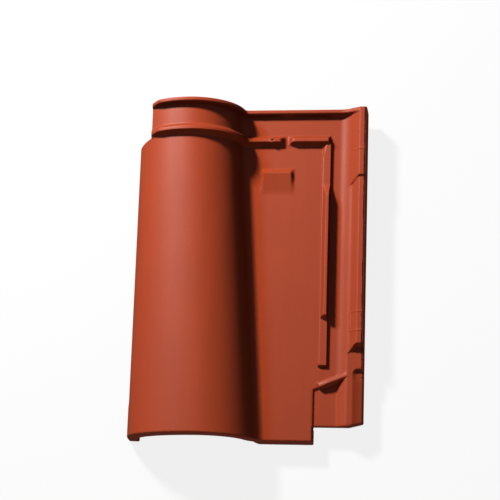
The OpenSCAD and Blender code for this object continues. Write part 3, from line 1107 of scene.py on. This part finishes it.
    def surface(self, face: Face) -> tuple[Array, Array, Array]:
        """Points of one face on the shared grid.

        The roll is its section grown by the ribs' height above, or shrunk by one wall below. The
        pan is a level plus the height of the locks above, or the underside's level below. Rows
        near the tail lean back by the draft: most on the roll, less on the pan, least at the ground
        and on the lower face, and not at all under the nose. Rows beside the notches and the lip
        follow their slants.

        Args:
            face: Which face.

        Returns:
            x, y and z, one row for each row of the grid.
        """
        y = self.rows()[:, None]
        off = 0.0 if face is Face.UPPER else -self.extent.wall
        rib = self.head_lock.roll_rise(y) if face is Face.UPPER else np.zeros_like(y)
        bands = [self.roll.left_half(y, off, rib), self.roll.right_half(y, off + rib),
                 self.roll.hollow(y, off + rib)]
        pan_x = self.pan_columns(y)
        if face is Face.UPPER:
            pan_y = y + self.tail_lock.lip_shift(pan_x, y)
            pan_z = self.extent.pan_height + self.pan_rise(pan_x, pan_y)
        else:
            pan_z = self.extent.under_height + self.side_lock.under_rise(pan_x)
        x = np.concatenate([band[0] for band in bands] + [pan_x], axis=1)
        z = np.concatenate([band[1] for band in bands] + [pan_z], axis=1)
        rows = np.broadcast_to(y, x.shape)
        toward_pan = (x - self.roll.crest_x(y)) / (self.roll.foot_x(y) - self.roll.crest_x(y))
        draft = self.roll_draft + (self.pan_draft - self.roll_draft) * np.clip(toward_pan, 0.0, 1.0)
        draft = self.lower_draft + (draft - self.lower_draft) * np.clip(z / self.extent.pan_height, 0.0, 1.0)
        if face is Face.LOWER:
            right = x > self.roll.crest_x(y)
            z = np.where(right, self.underside.level(x, rows, z), z)
            draft = self.lower_draft * (1.0 - self.underside.nose_share(x))
        lean = draft * np.clip(1.0 - (rows - self.extent.tail) / self.draft_fade, 0.0, 1.0)
        shift = self.tail_lock.chamfer(x, rows) + self.tail_lock.lip_shift(x, rows)
        return x, rows + lean + shift - self.roll.notch_shift(x, rows), z

    def cells(self) -> Array:
        """Grid cells that are clay: all but the notch at the left of the head and at the right of the tail.

        Returns:
            True for each cell that is clay.
        """
        rows, columns = self.rows(), self.lock_columns()
        middle = (rows[1:] + rows[:-1]) / 2
        lead = self.roll.leg_cells + self.roll.crown_cells + self.roll.right_cells
        lead += self.roll.hollow_cells + self.spread_cells
        clay = np.ones((len(rows) - 1, lead + len(columns) - 1), bool)
        clay[middle > self.roll.notch_y(), :self.roll.leg_cells] = False
        first_cut = lead + int(np.argmin(np.abs(columns - self.tail_lock.notch_x())))
        clay[middle < self.tail_lock.notch_y(), first_cut:] = False
        return clay

    def shell(self) -> tuple[Array, Array, Array, Array, Array]:
        """Closed shell: the cells of both faces, and a wall along every edge of the clay cells.

        A wall quad joins an edge of the upper face to the same edge of the lower face, on each
        grid edge that has clay on one side only.

        Returns:
            Points in metres, quads, material index of each quad, rim edges as point pairs, and the
            radius of the round on each rim edge.
        """
        clay = self.cells()
        count = np.array(clay.shape) + 1
        upper = np.arange(count[0] * count[1]).reshape(count)
        lower = upper + upper.size
        top = np.stack((upper[:-1, :-1], upper[:-1, 1:], upper[1:, 1:], upper[1:, :-1]), -1)[clay]
        bottom = np.stack((lower[:-1, :-1], lower[1:, :-1], lower[1:, 1:], lower[:-1, 1:]), -1)[clay]
        beside = np.pad(clay, ((0, 0), (1, 1)))
        along = np.pad(clay, ((1, 1), (0, 0)))
        starts, ends = [], []
        for mask, first, second in (
                (~beside[:, :-1] & beside[:, 1:], upper[:-1, :], upper[1:, :]),
                (beside[:, :-1] & ~beside[:, 1:], upper[1:, :], upper[:-1, :]),
                (~along[:-1, :] & along[1:, :], upper[:, 1:], upper[:, :-1]),
                (along[:-1, :] & ~along[1:, :], upper[:, :-1], upper[:, 1:])):
            starts.append(first[mask])
            ends.append(second[mask])
        start, end = np.concatenate(starts), np.concatenate(ends)
        walls = np.stack((start, end, end + upper.size, start + upper.size), -1)
        quads = np.concatenate((top, walls, bottom))
        skin = np.concatenate((np.full(len(top) + len(walls), Face.UPPER.value),
                               np.full(len(bottom), Face.LOWER.value)))
        rim = np.stack((start, end), -1)
        on_side = np.all(rim % count[1] == count[1] - 1, axis=1)
        rim = np.concatenate((rim, rim + upper.size, self.corner_edges(walls)))
        radius = np.full(len(rim), self.rim_round)
        radius[:len(on_side)][on_side] = self.side_round
        points = np.concatenate([np.stack(self.surface(face), -1).reshape(-1, 3) for face in Face])
        used = np.unique(quads)
        renumber = np.zeros(len(points), np.int64)
        renumber[used] = np.arange(len(used))
        return points[used] * MM, renumber[quads], skin, renumber[rim], radius

    @staticmethod
    def corner_edges(walls: Array) -> Array:
        """Upright edges at the plan's corners: where a wall along a row meets a wall along a column.

        Args:
            walls: Wall quads, as upper start, upper end, lower end and lower start.

        Returns:
            Upper and lower point of each such edge.
        """
        across = np.abs(walls[:, 0] - walls[:, 1]) == 1
        on_rows = np.unique(walls[across][:, :2])
        on_columns = np.unique(walls[~across][:, :2])
        corners = np.intersect1d(on_rows, on_columns)
        drop = walls[0, 3] - walls[0, 0]
        return np.stack((corners, corners + drop), -1)

    def build(self) -> bpy.types.Object:
        """Puts the shell into a mesh and rounds its rims with a bevel, shaded by the larger faces.

        Returns:
            The tile's object, with no material yet.
        """
        points, quads, skin, rim, radius = self.shell()
        mesh = bpy.data.meshes.new("fired_roof_tile")
        mesh.vertices.add(len(points))
        mesh.vertices.foreach_set("co", points.ravel())
        mesh.loops.add(quads.size)
        mesh.loops.foreach_set("vertex_index", quads.ravel())
        mesh.polygons.add(len(quads))
        mesh.polygons.foreach_set("loop_start", np.arange(0, quads.size, 4))
        mesh.polygons.foreach_set("material_index", skin)
        mesh.polygons.foreach_set("use_smooth", np.ones(len(quads), bool))
        mesh.update(calc_edges=True)
        # The mesh's own edges are matched to the rim by one key for each pair of points.
        edges = np.empty(len(mesh.edges) * 2, np.int64)
        mesh.edges.foreach_get("vertices", edges)
        keys = np.sort(edges.reshape(-1, 2), 1) @ np.array([len(points), 1])
        rim_keys = np.sort(rim, 1) @ np.array([len(points), 1])
        order = np.argsort(rim_keys)
        match = order[np.searchsorted(rim_keys, keys, sorter=order).clip(max=len(order) - 1)]
        weight = np.where(rim_keys[match] == keys, radius[match] / radius.max(), 0.0).astype(np.float32)
        mesh.attributes.new("bevel_weight_edge", "FLOAT", "EDGE").data.foreach_set("value", weight)
        tile = bpy.data.objects.new("fired_roof_tile", mesh)
        bpy.context.scene.collection.objects.link(tile)
        bevel = tile.modifiers.new("rim_round", "BEVEL")
        bevel.limit_method = "WEIGHT"
        bevel.width = radius.max() * MM
        bevel.segments = self.rim_segments
        bevel.use_clamp_overlap = False
        tile.modifiers.new("even_normals", "WEIGHTED_NORMAL")
        return tile

    def dress(self, tile: bpy.types.Object) -> None:
        """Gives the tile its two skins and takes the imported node's place.

        Args:
            tile: The tile's object.
        """
        grain = ClayGrain().group()
        for finish in (ENGOBE, BARE_CLAY):
            tile.data.materials.append(finish.material(grain))
        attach(tile, TILE_BODY)
        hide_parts(TILE_NODE)


@dataclass(frozen=True)
class Studio:
    """Pale floor, lamps from the head and the left, a weak bounce and fill, the camera."""

    floor_side: float = 12.0
    floor_level: float = -0.0002
    floor_colour: Colour = (0.86, 0.86, 0.86)
    floor_lift: float = 0.85
    fill_strength: float = 0.085
    key_place: Triple = (-0.80, 1.12, 1.20)
    key_power: float = 45.5
    sheen_place: Triple = (-1.09, 1.05, 1.08)
    sheen_power: float = 28.5
    bounce_place: Triple = (0.05, -1.1, 0.14)
    bounce_power: float = 1.0
    lamp_width: float = 0.26
    lamp_bounces: int = 0
    camera_place: Triple = (0.253, -0.405, 1.800)
    camera_aim: Triple = (0.0009, 0.0268, 0.024)
    camera_roll: float = math.radians(1.93)
    camera_focal_px: float = 1632.7
    sensor_width: float = 36.0

    def floor(self) -> None:
        """Makes the level floor, just below the resting plane so that no faces coincide.

        Its paint scatters light as a pale matt colour. What the camera sees of it is lifted part
        of the way to white, so the tile's shadow stays.
        """
        half = self.floor_side / 2
        corner = np.array([-half, half])
        x, y = np.meshgrid(corner, corner)
        points = np.stack((x.ravel(), y.ravel(), np.full(4, self.floor_level)), -1)
        mesh = bpy.data.meshes.new("floor")
        mesh.from_pydata(points.tolist(), [], [(0, 1, 3, 2)])
        floor = bpy.data.objects.new("floor", mesh)
        bpy.context.scene.collection.objects.link(floor)
        mesh.materials.append(self.floor_paint())

    def floor_paint(self) -> bpy.types.Material:
        """Builds the floor's material: matt paint mixed with white for camera rays only.

        Returns:
            The material.
        """
        paint = bpy.data.materials.new("pale_floor")
        paint.use_nodes = True
        tree = paint.node_tree
        matt = tree.nodes["Principled BSDF"]
        feed(tree, matt, {
            "Base Color": (*self.floor_colour, 1.0), "Roughness": 1.0, "Specular IOR Level": 0.0})
        white = add_node(tree, "ShaderNodeEmission", {})
        path = add_node(tree, "ShaderNodeLightPath", {})
        lift = add_node(tree, "ShaderNodeMath", {
            0: path.outputs["Is Camera Ray"], 1: self.floor_lift}, operation="MULTIPLY")
        mix = add_node(tree, "ShaderNodeMixShader", {
            "Fac": lift.outputs[0], 1: matt.outputs["BSDF"], 2: white.outputs["Emission"]})
        feed(tree, tree.nodes["Material Output"], {"Surface": mix.outputs["Shader"]})
        return paint

    def sky(self) -> None:
        """Lights the scene with a weak even fill, which the camera sees as white."""
        world = bpy.data.worlds.new("studio")
        world.use_nodes = True
        tree = world.node_tree
        path = add_node(tree, "ShaderNodeLightPath", {})
        strength = add_node(tree, "ShaderNodeMapRange", {
            "Value": path.outputs["Is Camera Ray"], "To Min": self.fill_strength, "To Max": 1.0})
        feed(tree, tree.nodes["Background"], {
            "Color": (1.0, 1.0, 1.0, 1.0), "Strength": strength.outputs["Result"]})
        bpy.context.scene.world = world

    def lamp(self, name: str, place: Triple, power: float) -> bpy.types.Object:
        """Hangs a round lamp, aimed at the tile, whose light isn't passed on from face to face.

        Args:
            name: Name of the lamp.
            place: Place of the lamp.
            power: Its power in watts.

        Returns:
            The lamp.
        """
        light = bpy.data.lights.new(name, "AREA")
        light.shape = "DISK"
        light.size = self.lamp_width
        light.energy = power
        light.cycles.max_bounces = self.lamp_bounces
        lamp = bpy.data.objects.new(name, light)
        lamp.location = place
        lamp.rotation_euler = (-Vector(place)).to_track_quat("-Z", "Y").to_euler()
        lamp.visible_camera = False
        bpy.context.scene.collection.objects.link(lamp)
        return lamp

    def lamps(self) -> None:
        """Hangs the key lamp, one that only gives the sheen, and a weak one for the floor's own bounce."""
        key = self.lamp("key", self.key_place, self.key_power)
        key.visible_glossy = False
        sheen = self.lamp("sheen", self.sheen_place, self.sheen_power)
        sheen.visible_diffuse = False
        bounce = self.lamp("bounce", self.bounce_place, self.bounce_power)
        bounce.visible_glossy = False

    def camera(self) -> None:
        """Sets the camera at the photograph's viewing angle."""
        lens = bpy.data.cameras.new("camera")
        lens.sensor_width = self.sensor_width
        lens.lens = self.camera_focal_px * self.sensor_width / PHOTO_SIDE_PX
        camera = bpy.data.objects.new("camera", lens)
        bpy.context.scene.collection.objects.link(camera)
        place, aim = Vector(self.camera_place), Vector(self.camera_aim)
        ahead = (aim - place).normalized()
        right = ahead.cross(Vector((0.0, 1.0, 0.0))).normalized()
        up = right.cross(ahead)
        turn = Matrix.Rotation(-self.camera_roll, 3, ahead)
        axes = Matrix((turn @ right, turn @ up, turn @ -ahead)).transposed()
        camera.matrix_world = Matrix.Translation(place) @ axes.to_4x4()
        bpy.context.scene.camera = camera

    def build(self) -> None:
        """Makes floor, light and camera, and keeps colours as they are written."""
        self.floor()
        self.sky()
        self.lamps()
        self.camera()
        bpy.context.scene.view_settings.view_transform = "Standard"


def main() -> None:
    """Builds the tile and the studio around it."""
    logging.basicConfig(level=logging.INFO)
    maker = RoofTile(Extent.of_node(TILE_NODE))
    tile = maker.build()
    maker.dress(tile)
    LOG.info("%s: %d quads before its rims are rounded", tile.name, len(tile.data.polygons))
    Studio().build()
    LOG.info("studio: floor, three lamps, fill and camera")


if __name__ == "__main__":
    main()
